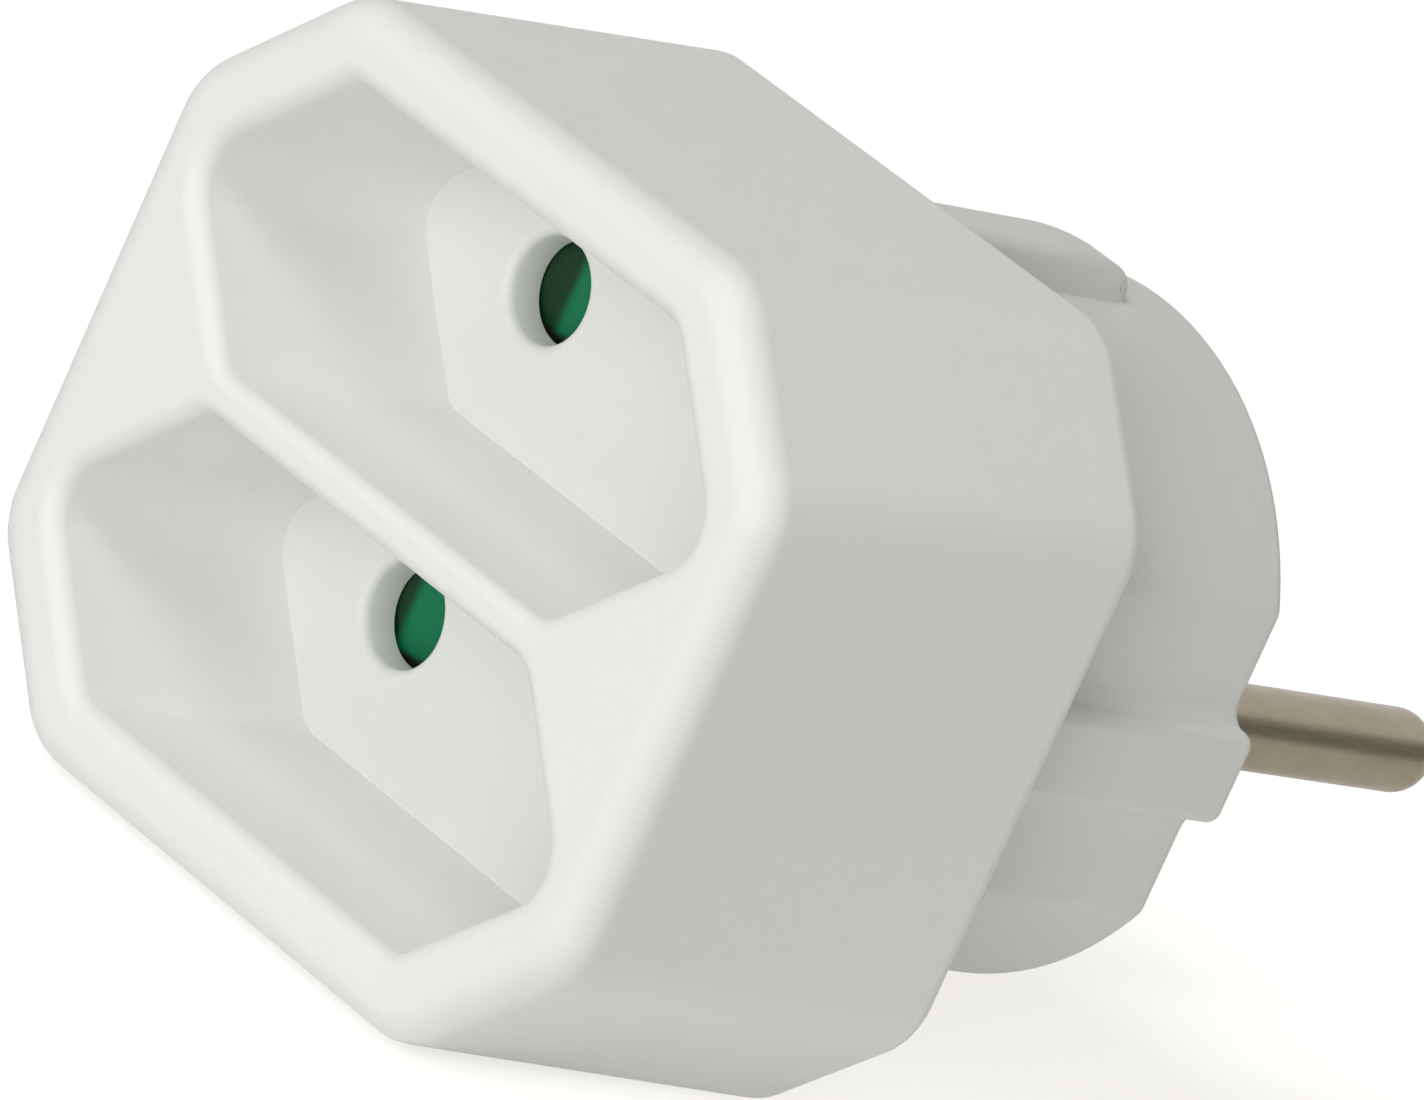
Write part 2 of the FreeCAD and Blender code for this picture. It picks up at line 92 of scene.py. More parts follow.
# Plug part
PLUG_R = 16.603
PLUG_FLAT_X = 14.703
PLUG_CORNER_R = 1.0
PLUG_WALL = 1.3
NOSE_R = 0.7
NOSE_WALL = 3.0
SIDE_RIB_REACH, SIDE_RIB_WIDTH = 16.503, 4.6
SIDE_RIB_FOOT_R = 1.0
TOP_RIB_REACH, TOP_RIB_WIDTH = 18.603, 3.6
TOP_RIB_FOOT_R = 0.6
TOP_RIB_SETBACK = 4.1
TOP_RIB_SLOPE, TOP_RIB_DROP = 3.4, 0.8
TOP_RIB_BEND = 1.6
TOP_RIB_END_R = 1.0
TOP_RIB_ROOT = 0.5
PLUG_REACH = 20.0
RIB_EDGE_R = 0.7
FLANGE = 2.0
FLANGE_GAP = 0.1
BOSS_R = 3.0
PILOT_R = 1.2
PILOT_SPARE = 0.6
SCREW_TUBE_R = 4.1
SCREW_HOLE_R = 1.65
SCREW_HEAD_R = 2.9
SCREW_HEAD_Y = -3.6

# Pins
PIN_X = 9.5
PIN_R = 2.0
PIN_TIP_R = 1.85
SHANK_R = 1.7
COLLAR_R = 2.9
COLLAR = 1.0
TAIL_R = 1.2
TAIL = 0.8
PIN_ROOT = 6.8

# Return springs
SPRING_FOLDS = 8
SPRING_STRIP = 0.45

# Stations along Y, read from the frame
Y_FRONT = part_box("front_housing")[0].y / MM
Y_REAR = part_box("front_housing")[1].y / MM
Y_FLOOR = Y_FRONT + RECESS_DEPTH
Y_CHAMBER = Y_FLOOR + FLOOR_PLATE
Y_FLANGE = Y_REAR - FLANGE
Y_ROOT = Y_REAR - FLANGE / 2
Y_BOSS_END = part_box("plug_base")[0].y / MM
Y_SCREW_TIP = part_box("housing_screw")[0].y / MM
PIN_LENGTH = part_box("plug_pin_left")[1].y / MM

# Cuts reach past their faces, places agree within NEAR, and points closer than MERGE are one
PAST = 1.0
NEAR = 0.02
MERGE = 0.001

# Facets of rounds
ARC_STEPS = 8
HOLE_LIP_STEPS = 3
RECESS_FLOOR_STEPS = 4
EDGE_STEPS = 5
PIN_TIP_STEPS = 16
ROUND_SIDES = 120
PIN_SIDES = 96
BORE_SIDES = 72
SMALL_BORE_SIDES = 48

# Turns between faces that count as an edge, in radians, and how squarely a face looks along an axis
LOW_TURN, CLEAR_TURN, SHARP_TURN = 0.2, 0.5, 1.0
FACING = 0.9

# Tangents of half the angle that an edge turns through
TURN_45 = math.tan(math.radians(22.5))
PLUG_CORNER_TURN = 0.25
TOP_RIB_FOOT_TURN = 0.8

# Clean-up and smoothing of meshes
FLAT_ANGLE = math.radians(0.1)
SMOOTH_ANGLE = math.radians(35)
SMOOTH_WEIGHT = 60

# The signs of the upper and lower rows, and of the right and left sides
MIRRORED = (1, -1)


# Modelling helpers

def open_mesh(piece):
    """Opens the mesh of one piece, with nothing picked."""
    bpy.ops.object.select_all(action="DESELECT")
    piece.select_set(True)
    bpy.context.view_layer.objects.active = piece
    bpy.ops.object.mode_set(mode="EDIT")
    bpy.ops.mesh.select_mode(type="VERT")
    bpy.ops.mesh.select_all(action="DESELECT")


def close_mesh():
    bpy.ops.object.mode_set(mode="OBJECT")


def pick_points(piece, test):
    """Picks the points whose place, in millimetres, passes the test."""
    mesh = bmesh.from_edit_mesh(piece.data)
    bpy.ops.mesh.select_mode(type="VERT")
    for point in mesh.verts:
        point.select_set(bool(test(point.co / MM)))
    mesh.select_flush(True)
    bmesh.update_edit_mesh(piece.data)


def pick_faces(piece, test):
    """Picks the faces whose middle, in millimetres, and normal pass the test."""
    bpy.ops.mesh.select_mode(type="FACE")
    mesh = bmesh.from_edit_mesh(piece.data)
    for face in mesh.faces:
        face.select_set(bool(test(face.calc_center_median() / MM, face.normal)))
    bmesh.update_edit_mesh(piece.data)


def pick_edges(piece, test):
    """Picks the edges whose two ends, in millimetres, and turn between faces pass the test."""
    bpy.ops.mesh.select_mode(type="EDGE")
    mesh = bmesh.from_edit_mesh(piece.data)
    for edge in mesh.edges:
        a, b = (point.co / MM for point in edge.verts)
        edge.select_set(bool(test(a, b, edge.calc_face_angle(0.0))))
    bmesh.update_edit_mesh(piece.data)


def round_picked(radius, turn=1.0, steps=ARC_STEPS):
    """Rounds the picked edges; turn is the tangent of half the angle that they turn through."""
    bpy.ops.mesh.bevel(offset=radius * turn * MM, segments=steps, profile=0.5, affect="EDGES",
                       offset_type="OFFSET", clamp_overlap=True)


def close_to(a, b):
    return abs(a - b) < NEAR


def lengthwise(a, b, turn):
    """True for an edge that runs along Y between two faces that meet at an angle."""
    return abs(a.y - b.y) > PAST and close_to(a.x, b.x) and turn > LOW_TURN


def settle(piece, name):
    """Names a new primitive and puts its place into its mesh."""
    bpy.ops.object.transform_apply(location=True, rotation=True, scale=True)
    piece.name = name
    return piece


def block(name, x0, x1, y0, y1, z0, z1):
    """Box between two corners, in millimetres."""
    bpy.ops.object.select_all(action="DESELECT")
    bpy.ops.mesh.primitive_cube_add(size=1)
    piece = bpy.context.object
    piece.location = Vector((x0 + x1, y0 + y1, z0 + z1)) * MM / 2
    piece.scale = Vector((x1 - x0, y1 - y0, z1 - z0)) * MM
    return settle(piece, name)


def rod(name, radius, y0, y1, x=0.0, z=0.0, sides=ROUND_SIDES):
    """Cylinder along Y, in millimetres."""
    bpy.ops.object.select_all(action="DESELECT")
    bpy.ops.mesh.primitive_cylinder_add(vertices=sides, radius=radius * MM, depth=(y1 - y0) * MM)
    piece = bpy.context.object
    piece.location = Vector((x, (y0 + y1) / 2, z)) * MM
    piece.rotation_euler.x = math.radians(90)
    return settle(piece, name)


def combine(piece, tool, operation):
    """Adds, cuts or keeps what a tool shares with a piece, and deletes the tool."""
    bpy.ops.object.select_all(action="DESELECT")
    piece.select_set(True)
    bpy.context.view_layer.objects.active = piece
    step = piece.modifiers.new("combine", "BOOLEAN")
    step.operation = operation
    step.object = tool
    step.solver = "EXACT"
    bpy.ops.object.modifier_apply(modifier=step.name)
    bpy.data.objects.remove(tool)
    open_mesh(piece)
    bpy.ops.mesh.select_all(action="SELECT")
    bpy.ops.mesh.remove_doubles(threshold=MERGE * MM)
    bpy.ops.mesh.dissolve_limited(angle_limit=FLAT_ANGLE)
    close_mesh()
    return piece


def finish_piece(piece, name, body, node):
    """Smooths a finished mesh and puts it in the place of a CAD node."""
    open_mesh(piece)
    bpy.ops.mesh.select_all(action="SELECT")
    bpy.ops.mesh.normals_make_consistent(inside=False)
    close_mesh()
    bpy.ops.object.shade_smooth_by_angle(angle=SMOOTH_ANGLE)
    even = piece.modifiers.new("even", "WEIGHTED_NORMAL")
    even.keep_sharp = True
    even.weight = SMOOTH_WEIGHT
    bpy.ops.object.modifier_apply(modifier=even.name)
    piece.name = name
    piece.data.name = name
    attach(piece, body)
    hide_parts(node)
    return piece


# Front housing

def body_size(y, depth):
    """Width, height and corner cut of the body's outline at y, set in by a depth."""
    share = (y - Y_FRONT) / (Y_REAR - Y_FRONT)
    width = FRONT_WIDTH + share * (REAR_WIDTH - FRONT_WIDTH) - 2 * depth
    height = FRONT_HEIGHT + share * (REAR_HEIGHT - FRONT_HEIGHT) - 2 * depth
    cut = FRONT_CUT + share * (REAR_CUT - FRONT_CUT) - depth * (2 - math.sqrt(2))
    return width, height, cut


def octagon_block(name, y0, y1, depth, corner_r):
    """Length of the tapering body, set in by a depth, with rounded corners."""
    width, height, cut = body_size(y0, depth)
    far_width, far_height, far_cut = body_size(y1, depth)
    piece = block(name, -width / 2, width / 2, y0, y1, -height / 2, height / 2)
    open_mesh(piece)
    pick_edges(piece, lengthwise)
    round_picked(cut, steps=1)
    wide = (far_width / width, 1, (far_height / 2 - far_cut) / (height / 2 - cut))
    tall = ((far_width / 2 - far_cut) / (width / 2 - cut), 1, far_height / height)
    middle = (0, y1 * MM, 0)
    for value, at_sides in ((wide, True), (tall, False)):
        pick_points(piece, lambda p: close_to(p.y, y1) and (abs(p.x) > (width - cut) / 2) == at_sides)
        bpy.ops.transform.resize(value=value, center_override=middle)
    pick_edges(piece, lambda a, b, turn: abs(a.y - b.y) > PAST and turn > LOW_TURN)
    round_picked(corner_r, TURN_45)
    close_mesh()
    return piece


def hexagon_block(name, grow, y0, y1, z_mid):
    """Recess outline with pointed ends, grown all round, carried from y0 to y1."""
    half = RECESS_HEIGHT / 2 + grow
    shoulder = RECESS_WIDTH / 2 + grow * math.sqrt(2) - half
    piece = block(name, -shoulder, shoulder, y0, y1, z_mid - half, z_mid + half)
    open_mesh(piece)
    for side in MIRRORED:
        pick_faces(piece, lambda middle, normal: side * normal.x > FACING)
        bpy.ops.mesh.extrude_region_move(TRANSFORM_OT_translate={"value": (side * half * MM, 0, 0)})
        bpy.ops.transform.resize(value=(1, 1, 0), center_override=(0, 0, z_mid * MM))
    bpy.ops.mesh.select_all(action="SELECT")
    bpy.ops.mesh.remove_doubles(threshold=NEAR * MM)
    bpy.ops.mesh.normals_make_consistent(inside=False)
    close_mesh()
    return piece


def recess_cutter(row):
    """Space of one recess, with its ends, sides and floor edge rounded."""
    piece = hexagon_block("recess", 0, Y_FRONT - PAST, Y_FLOOR, row * RECESS_Z)
    open_mesh(piece)
    pick_edges(piece, lambda a, b, turn: lengthwise(a, b, turn) and not close_to(a.z, row * RECESS_Z))
    round_picked(RECESS_SIDE_R, TURN_45)
    pick_edges(piece, lambda a, b, turn: lengthwise(a, b, turn) and close_to(a.z, row * RECESS_Z))
    round_picked(RECESS_TIP_R)
    pick_edges(piece, lambda a, b, turn: close_to(a.y, Y_FLOOR) and close_to(b.y, Y_FLOOR))
    round_picked(RECESS_FLOOR_R, steps=RECESS_FLOOR_STEPS)
    close_mesh()
    return piece


def on_recess_mouth(a, b, turn):
    """True for an edge where a recess opens in the front face."""
    if not (close_to(a.y, Y_FRONT) and close_to(b.y, Y_FRONT) and turn > CLEAR_TURN):
        return False
    return all(abs(p.x) + abs(abs(p.z) - RECESS_Z) < RECESS_WIDTH / 2 + NEAR for p in (a, b))


def round_mouths(piece):
    """Rounds the recess mouths, with a smaller radius along the narrow bar between them."""
    form = bmesh.new()
    form.from_mesh(piece.data)
    share = form.edges.layers.float.new("bevel_weight_edge")
    for edge in form.edges:
        a, b = (point.co / MM for point in edge.verts)
        if on_recess_mouth(a, b, edge.calc_face_angle(0.0)):
            rise = (abs(a.z) + abs(b.z)) / 2 - BAR_EDGE_Z
            edge[share] = min(1.0, (BAR_LIP_R + LIP_SPREAD * rise) / LIP_R)
    form.to_mesh(piece.data)
    form.free()
    lips = piece.modifiers.new("lips", "BEVEL")
    lips.width = LIP_R * MM
    lips.segments = ARC_STEPS
    lips.limit_method = "WEIGHT"
    lips.use_clamp_overlap = False
    bpy.ops.object.modifier_apply(modifier=lips.name)
    piece.data.attributes.remove(piece.data.attributes["bevel_weight_edge"])


def on_hole_mouth(a, b, turn):
    """True for an edge where a socket hole opens in a recess floor."""
    if not (close_to(a.y, Y_FLOOR) and close_to(b.y, Y_FLOOR) and turn > CLEAR_TURN):
        return False
    return all(math.hypot(abs(p.x) - PIN_X, abs(p.z) - RECESS_Z) < HOLE_R + NEAR for p in (a, b))


def front_housing():
    """Outer shell with two hexagonal wells, their pierced floors and the screw boss."""
    shell = octagon_block("shell", Y_FRONT, Y_REAR, 0, CORNER_R)
    open_mesh(shell)
    pick_edges(shell, lambda a, b, turn: close_to(a.y, Y_FRONT) and close_to(b.y, Y_FRONT))
    round_picked(FRONT_EDGE_R)
    pick_edges(shell, lambda a, b, turn: close_to(a.y, Y_REAR) and close_to(b.y, Y_REAR))
    round_picked(REAR_EDGE_R)
    close_mesh()
    cavity = octagon_block("cavity", Y_FRONT + FRONT_PLATE, Y_REAR + PAST, WALL, CORNER_R - WALL)
    for row in MIRRORED:
        well = hexagon_block("well", WELL_WALL, Y_FRONT, Y_CHAMBER, row * RECESS_Z)
        cavity = combine(cavity, well, "DIFFERENCE")
    shell = combine(shell, cavity, "DIFFERENCE")
    for row in MIRRORED:
        shell = combine(shell, recess_cutter(row), "DIFFERENCE")
    for row in MIRRORED:
        for side in MIRRORED:
            hole = rod("hole", HOLE_R, Y_FLOOR - PAST, Y_CHAMBER + PAST,
                       side * PIN_X, row * RECESS_Z, BORE_SIDES)
            shell = combine(shell, hole, "DIFFERENCE")
    round_mouths(shell)
    open_mesh(shell)
    pick_edges(shell, on_hole_mouth)
    round_picked(HOLE_LIP_R, steps=HOLE_LIP_STEPS)
    close_mesh()
    boss = rod("boss", BOSS_R, Y_CHAMBER - NEAR, Y_BOSS_END, sides=SMALL_BORE_SIDES)
    shell = combine(shell, boss, "UNION")
    pilot = rod("pilot", PILOT_R, Y_SCREW_TIP - PILOT_SPARE, Y_BOSS_END + PAST, sides=SMALL_BORE_SIDES)
    shell = combine(shell, pilot, "DIFFERENCE")
    return finish_piece(shell, "housing_shell", "adapter", "front_housing")


# Plug part

def plug_round(name, radius, flat, y0, y1):
    """Round length of the plug from y0 to y1, with its two sides cut flat."""
    piece = rod(name, radius, y0, y1)
    sides = block("sides", -flat, flat, y0 - PAST, y1 + PAST, -2 * radius, 2 * radius)
    return combine(piece, sides, "INTERSECT")


def plug_core():
    """Round plug with flat sides, a rib on each flat, and a rounded nose."""
    core = plug_round("core", PLUG_R, PLUG_FLAT_X, Y_ROOT - PAST, PAST)
    open_mesh(core)
    pick_edges(core, lambda a, b, turn: lengthwise(a, b, turn) and close_to(abs(a.x), PLUG_FLAT_X))
    round_picked(PLUG_CORNER_R, PLUG_CORNER_TURN)
    close_mesh()
    half = SIDE_RIB_WIDTH / 2
    ribs = block("ribs", -SIDE_RIB_REACH, SIDE_RIB_REACH, Y_ROOT - 2 * PAST, 2 * PAST, -half, half)
    open_mesh(ribs)
    pick_edges(ribs, lengthwise)
    round_picked(RIB_EDGE_R)
    close_mesh()
    core = combine(core, ribs, "UNION")
    length = block("length", -PLUG_REACH, PLUG_REACH, Y_ROOT, 0, -PLUG_REACH, PLUG_REACH)
    core = combine(core, length, "INTERSECT")
    open_mesh(core)
    pick_edges(core, lambda a, b, turn: lengthwise(a, b, turn) and close_to(abs(a.x), PLUG_FLAT_X)
               and close_to(abs(a.z), half))
    round_picked(SIDE_RIB_FOOT_R)
    pick_edges(core, lambda a, b, turn: close_to(a.y, 0) and close_to(b.y, 0) and turn > CLEAR_TURN)
    round_picked(NOSE_R, steps=EDGE_STEPS)
    close_mesh()
    return core


def top_rib(row):
    """Short rib above or below the plug, its crest curving down to a rounded end."""
    half = TOP_RIB_WIDTH / 2
    y1 = -TOP_RIB_SETBACK
    y_bend = y1 - TOP_RIB_SLOPE
    root = row * (PLUG_R - PLUG_WALL / 2)
    crest = row * TOP_RIB_REACH
    end = crest - row * TOP_RIB_DROP
    y0 = Y_ROOT + TOP_RIB_ROOT
    piece = block("rib", -half, half, y0, y_bend, min(root, crest), max(root, crest))
    open_mesh(piece)
    pick_faces(piece, lambda middle, normal: normal.y > FACING)
    bpy.ops.mesh.extrude_region_move(TRANSFORM_OT_translate={"value": (0, TOP_RIB_SLOPE * MM, 0)})
    pick_points(piece, lambda p: close_to(p.y, y1) and close_to(p.z, crest))
    bpy.ops.transform.translate(value=(0, 0, (end - crest) * MM))
    bpy.ops.mesh.select_all(action="SELECT")
    bpy.ops.mesh.normals_make_consistent(inside=False)
    pick_edges(piece, lambda a, b, turn: all(close_to(p.z, end) and close_to(p.y, y1) for p in (a, b)))
    round_picked(TOP_RIB_END_R)
    pick_edges(piece, lambda a, b, turn: all(close_to(p.z, crest) and close_to(p.y, y_bend)
                                             for p in (a, b)))
    round_picked(TOP_RIB_BEND)
    pick_edges(piece, lambda a, b, turn: close_to(abs(a.x), half) and close_to(a.x, b.x)
               and turn > LOW_TURN and not (close_to(a.y, y0) and close_to(b.y, y0))
               and not (close_to(a.z, root) and close_to(b.z, root)))
    round_picked(RIB_EDGE_R, steps=EDGE_STEPS)
    close_mesh()
    return piece


def on_top_rib_foot(a, b, turn):
    """True for an edge where a top rib springs from the round side."""
    if turn < SHARP_TURN or max(a.y, b.y) < Y_ROOT + TOP_RIB_ROOT + NEAR:
        return False
    return all(abs(math.hypot(p.x, p.z) - PLUG_R) < 2 * NEAR and abs(p.x) < TOP_RIB_WIDTH / 2 + NEAR
               and p.y < NEAR - TOP_RIB_SETBACK for p in (a, b))


def plug_base():
    """Rear half: closing plate, hollow ribbed plug and screw tube."""
    base = plug_core()
    for row in MIRRORED:
        base = combine(base, top_rib(row), "UNION")
    open_mesh(base)
    pick_edges(base, on_top_rib_foot)
    round_picked(TOP_RIB_FOOT_R, TOP_RIB_FOOT_TURN, EDGE_STEPS)
    close_mesh()
    plate = octagon_block("plate", Y_FLANGE, Y_REAR, WALL + FLANGE_GAP, CORNER_R - WALL)
    base = combine(base, plate, "UNION")
    hollow = plug_round("hollow", PLUG_R - PLUG_WALL, PLUG_FLAT_X - PLUG_WALL,
                        Y_FLANGE - PAST, -NOSE_WALL)
    base = combine(base, hollow, "DIFFERENCE")
    tube = rod("tube", SCREW_TUBE_R, Y_BOSS_END, -PAST, sides=BORE_SIDES)
    base = combine(base, tube, "UNION")
    shank = rod("shank", SCREW_HOLE_R, Y_BOSS_END - PAST, PAST, sides=SMALL_BORE_SIDES)
    base = combine(base, shank, "DIFFERENCE")
    head = rod("head", SCREW_HEAD_R, SCREW_HEAD_Y, PAST, sides=BORE_SIDES)
    base = combine(base, head, "DIFFERENCE")
    for side in MIRRORED:
        seat = rod("seat", SHANK_R, -NOSE_WALL - PAST, PAST, side * PIN_X, sides=BORE_SIDES)
        base = combine(base, seat, "DIFFERENCE")
    return finish_piece(base, "plug_shell", "adapter", "plug_base")


# Pins

def plug_pin(name, side):
    """Turned pin with a rounded tip, a slimmer shank in the nose, a collar and a tail."""
    x = side * PIN_X
    pin = rod("pin", PIN_R, 0, PIN_LENGTH, x, sides=PIN_SIDES)
    open_mesh(pin)
    pick_edges(pin, lambda a, b, turn: close_to(a.y, PIN_LENGTH) and close_to(b.y, PIN_LENGTH))
    round_picked(PIN_TIP_R, steps=PIN_TIP_STEPS)
    close_mesh()
    shank = rod("shank", SHANK_R, -PIN_ROOT, PAST, x, sides=BORE_SIDES)
    pin = combine(pin, shank, "UNION")
    collar = rod("collar", COLLAR_R, -NOSE_WALL - COLLAR, -NOSE_WALL, x, sides=BORE_SIDES)
    pin = combine(pin, collar, "UNION")
    tail = rod("tail", TAIL_R, -PIN_ROOT - TAIL, -PIN_ROOT + NEAR, x, sides=SMALL_BORE_SIDES)
    pin = combine(pin, tail, "UNION")
    return finish_piece(pin, "pin_" + name, "adapter", "plug_pin_" + name)


# Return springs

def return_spring(name, row):
    """Folded strip in the box of the spring's CAD node; the real spring shortens towards its post as the
    shutter slides against it.
    """
    node = "shutter_spring_" + name
    low, high = (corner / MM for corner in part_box(node))
    length, width = high.x - low.x, high.y - low.y
    step = length / SPRING_FOLDS
    rise = high.z - low.z - SPRING_STRIP
    base = low.z if row > 0 else high.z - SPRING_STRIP
    bpy.ops.object.select_all(action="DESELECT")
    bpy.ops.mesh.primitive_grid_add(x_subdivisions=SPRING_FOLDS, y_subdivisions=1, size=MM)
    strip = bpy.context.object
    strip.location = Vector((low.x + length / 2, low.y + width / 2, base)) * MM
    strip.scale = (length, width, 1)
    settle(strip, "strip")
    open_mesh(strip)
    pick_points(strip, lambda place: round((place.x - low.x) / step) % 2 == 1)
    bpy.ops.transform.translate(value=(0, 0, row * rise * MM))
    bpy.ops.mesh.select_all(action="SELECT")
    bpy.ops.mesh.extrude_region_move(TRANSFORM_OT_translate={"value": (0, 0, SPRING_STRIP * MM)})
    bpy.ops.mesh.select_all(action="SELECT")
    bpy.ops.mesh.normals_make_consistent(inside=False)
    close_mesh()
    strip = finish_piece(strip, "return_spring_" + name, "adapter", node)
    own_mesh(strip)
    return strip


# Materials

# Noise: features per metre, detail and roughness
FLOW_CLOUDS = (110, 3.0, 0.55)
FLOW_GRAIN = (5200, 2.0, 0.6)
FLOW_DIMPLES = (900, 2.0, 0.5)
GREEN_CLOUDS = (350, 3.0, 0.6)
GREEN_GRAIN = (6000, 2.0, 0.6)
TARNISH = (420, 4.0, 0.62)
TOOL_MARKS = (5000, 3.0, 0.6)
GRAIN_DEPTH = 0.012 * MM
MARK_DEPTH = 0.004 * MM

# How much each noise counts in the colour, the height and the roughness
CLOUD_SHARE, GRAIN_SHARE = 0.7, 0.2
GRAIN_HEIGHT, DIMPLE_HEIGHT = 0.6, 0.8
DIMPLE_SPREAD = 0.14
TARNISH_SHARE, MARK_SHARE = 0.8, 0.2
TARNISH_SPREAD, MARK_SPREAD = 0.1, 0.22
GREEN_SPREAD = 0.2
MIDDLE = 0.5

# The two colours that a finish runs between, its roughness and, for metals, how its marks are drawn out
PLASTICS = {
    "housing_white": ((0.955, 0.963, 0.943, 1), (0.938, 0.947, 0.925, 1), 0.46),
    "base_white": ((0.876, 0.876, 0.850, 1), (0.842, 0.841, 0.812, 1), 0.48),
    "carrier_white": ((0.74, 0.75, 0.72, 1), (0.68, 0.69, 0.66, 1), 0.5),
}
METALS = {
    "pin_nickel": ((0.40, 0.350, 0.270, 1), (0.27, 0.235, 0.175, 1), 0.30, (1, 0.12, 1)),
    "contact_brass": ((0.80, 0.60, 0.28, 1), (0.66, 0.47, 0.20, 1), 0.3, (1, 0.1, 1)),
    "spring_steel": ((0.55, 0.55, 0.56, 1), (0.42, 0.42, 0.43, 1), 0.28, (0.1, 1, 1)),
    "screw_zinc": ((0.62, 0.62, 0.64, 1), (0.48, 0.48, 0.49, 1), 0.3, (1, 1, 1)),
}
GREENS = (0.003, 0.205, 0.085, 1), (0.006, 0.270, 0.115, 1)
# Painted shadow: the colour where the hole wall shades the left part of each shutter's hole
PAINTED_SHADOW_GREEN = (0.003, 0.044, 0.013, 1)
# Painted shade: nearly black where the gap below the shutter shows at each hole's bottom tip
PAINTED_GAP_SHADE = (0.014, 0.010, 0.006, 1)
GREEN_ROUGHNESS = 0.40
WHITE_SHEEN = 0.35
GREEN_SHEEN = 0.2

# Painted shadow of the hole wall and painted shade of the gap below, on the shutters, in millimetres
# from the wrapped middle and from the row's middle
SHADOW_EDGE_FROM, SHADOW_EDGE_TO = -10.9, -10.3
LOWER_SHADOW_SHIFT = 0.8
GAP_SHADE_FROM, GAP_SHADE_TO = -2.1, -2.6


class Socket:
    """A node's output, with Python's own operators as Math nodes."""

    def __init__(self, nodes, out):
        self.nodes = nodes
        self.out = out

    def math(self, operation, *values):
        return self.nodes.add("ShaderNodeMath", {"operation": operation}, *values)

    def __add__(self, other):
        return self.math("ADD", self, other)

    def __radd__(self, other):
        return self.math("ADD", other, self)

    def __sub__(self, other):
        return self.math("SUBTRACT", self, other)

    def __rsub__(self, other):
        return self.math("SUBTRACT", other, self)

    def __mul__(self, other):
        return self.math("MULTIPLY", self, other)


class Nodes:
    """A node tree of a material or of the world, filled by one method."""

    def __init__(self, tree):
        self.tree = tree

    def add(self, kind, settings, *values, output=0):
        """Adds a node with its settings and socket values, and gives one of its outputs."""
        node = self.tree.nodes.new(kind)
        for key, value in settings.items():
            setattr(node, key, value)
        for socket, value in zip(node.inputs, values):
            self.feed(socket, value)
        return Socket(self, node.outputs[output])

    def feed(self, socket, value):
        """Links a socket, or sets its number."""
        if isinstance(value, Socket):
            self.tree.links.new(value.out, socket)
        elif value is not None:
            socket.default_value = value

    def smooth_step(self, value, start, end, high=1.0):
        """Rises softly from 0 at start to its high at end."""
        return self.add("ShaderNodeMapRange", {"interpolation_type": "SMOOTHSTEP"},
                        value, start, end, 0.0, high)


class Finish(Nodes):
    """A material under construction: its nodes, its shader and the object's own coordinates."""

    def __init__(self, name):
        self.material = bpy.data.materials.new(name)
        self.material.use_nodes = True
        super().__init__(self.material.node_tree)
        self.shader = self.tree.nodes["Principled BSDF"]
        self.place = self.add("ShaderNodeTexCoord", {}, output="Object")

    def noise(self, scale, detail, roughness, stretch=(1, 1, 1)):
        """Even noise from 0 to 1 on the object, with features of about 1 / scale metres."""
        place = self.add("ShaderNodeVectorMath", {"operation": "MULTIPLY"}, self.place, stretch)
        return self.add("ShaderNodeTexNoise", {}, place, None, scale, detail, roughness)

    def blend(self, share, first, second):
        """Colour between two others."""
        node = self.tree.nodes.new("ShaderNodeMix")
        node.data_type = "RGBA"
        self.feed(node.inputs["Factor"], share)
        colours = [socket for socket in node.inputs if socket.type == "RGBA"]
        for socket, value in zip(colours, (first, second)):
            self.feed(socket, value)
        return Socket(self, [out for out in node.outputs if out.type == "RGBA"][0])

    def bump(self, height, distance):
        """Normal of a surface that rises by up to a distance, in metres, with the height."""
        node = self.tree.nodes.new("ShaderNodeBump")
        node.inputs["Strength"].default_value = 1.0
        node.inputs["Distance"].default_value = distance
        self.feed(node.inputs["Height"], height)
        return Socket(self, node.outputs[0])

    def set(self, **values):
        """Sets the shader's own sockets, named with underscores."""
        for key, value in values.items():
            self.feed(self.shader.inputs[key.replace("_", " ")], value)
        return self.material


def moulded(name, colour, shade, rough):
    """Injection-moulded plastic with faint flow clouds and a fine eroded grain."""
    finish = Finish(name)
    clouds = finish.noise(*FLOW_CLOUDS)
    grains = finish.noise(*FLOW_GRAIN)
    dimples = finish.noise(*FLOW_DIMPLES)
    base = finish.blend(clouds * CLOUD_SHARE + grains * GRAIN_SHARE, colour, shade)
    height = grains * GRAIN_HEIGHT + dimples * DIMPLE_HEIGHT
    return finish.set(Base_Color=base, Roughness=rough + (dimples - MIDDLE) * DIMPLE_SPREAD,
                      Normal=finish.bump(height, GRAIN_DEPTH), Specular_IOR_Level=WHITE_SHEEN)


